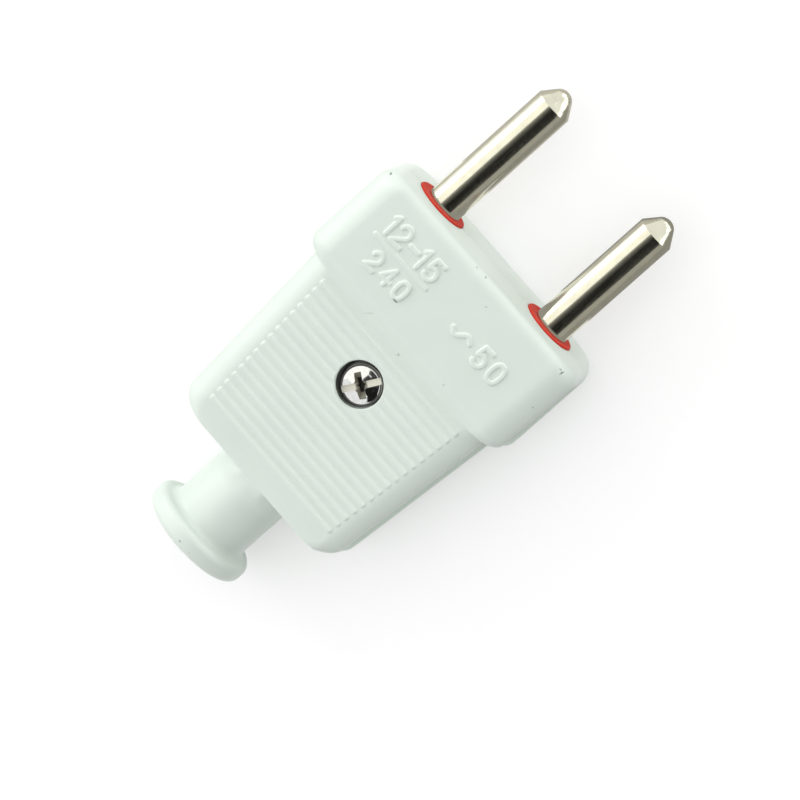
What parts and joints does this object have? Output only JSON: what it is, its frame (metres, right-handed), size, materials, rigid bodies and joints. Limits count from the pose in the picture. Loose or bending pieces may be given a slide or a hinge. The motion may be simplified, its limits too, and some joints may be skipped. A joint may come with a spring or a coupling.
{
  "type": "electric plug",
  "caption": "Flat white mains plug with round pins, red collars, a ribbed clam-shell housing, a housing screw and a flanged cord neck.",
  "frame": {"origin": "middle of the box round the plug, on the floor that it lies on", "axes": "+Y along the pins towards their tips, +Z out of the ribbed face with the screw head, +X across the pins"},
  "size_m": [0.0338, 0.0702, 0.0147],
  "materials": {
    "housing": "smooth white moulding with a faint green cast",
    "pins": "bright nickel plate on brass",
    "collars": "satin red moulding",
    "terminal_screws": "plain turned",
    "plated_steel": "bright zinc plate",
    "clamp": "plain moulding"
  },
  "bodies": {
    "root": {"top_shell": "housing", "bottom_shell": "housing", "left_pin": "pins", "right_pin": "pins", "left_collar": "collars", "right_collar": "collars", "left_terminal_screw": "terminal_screws", "right_terminal_screw": "terminal_screws", "housing_screw": "plated_steel", "housing_nut": "plated_steel", "cord_clamp": "clamp", "left_clamp_screw": "plated_steel", "right_clamp_screw": "plated_steel"}
  },
  "joints": []
}
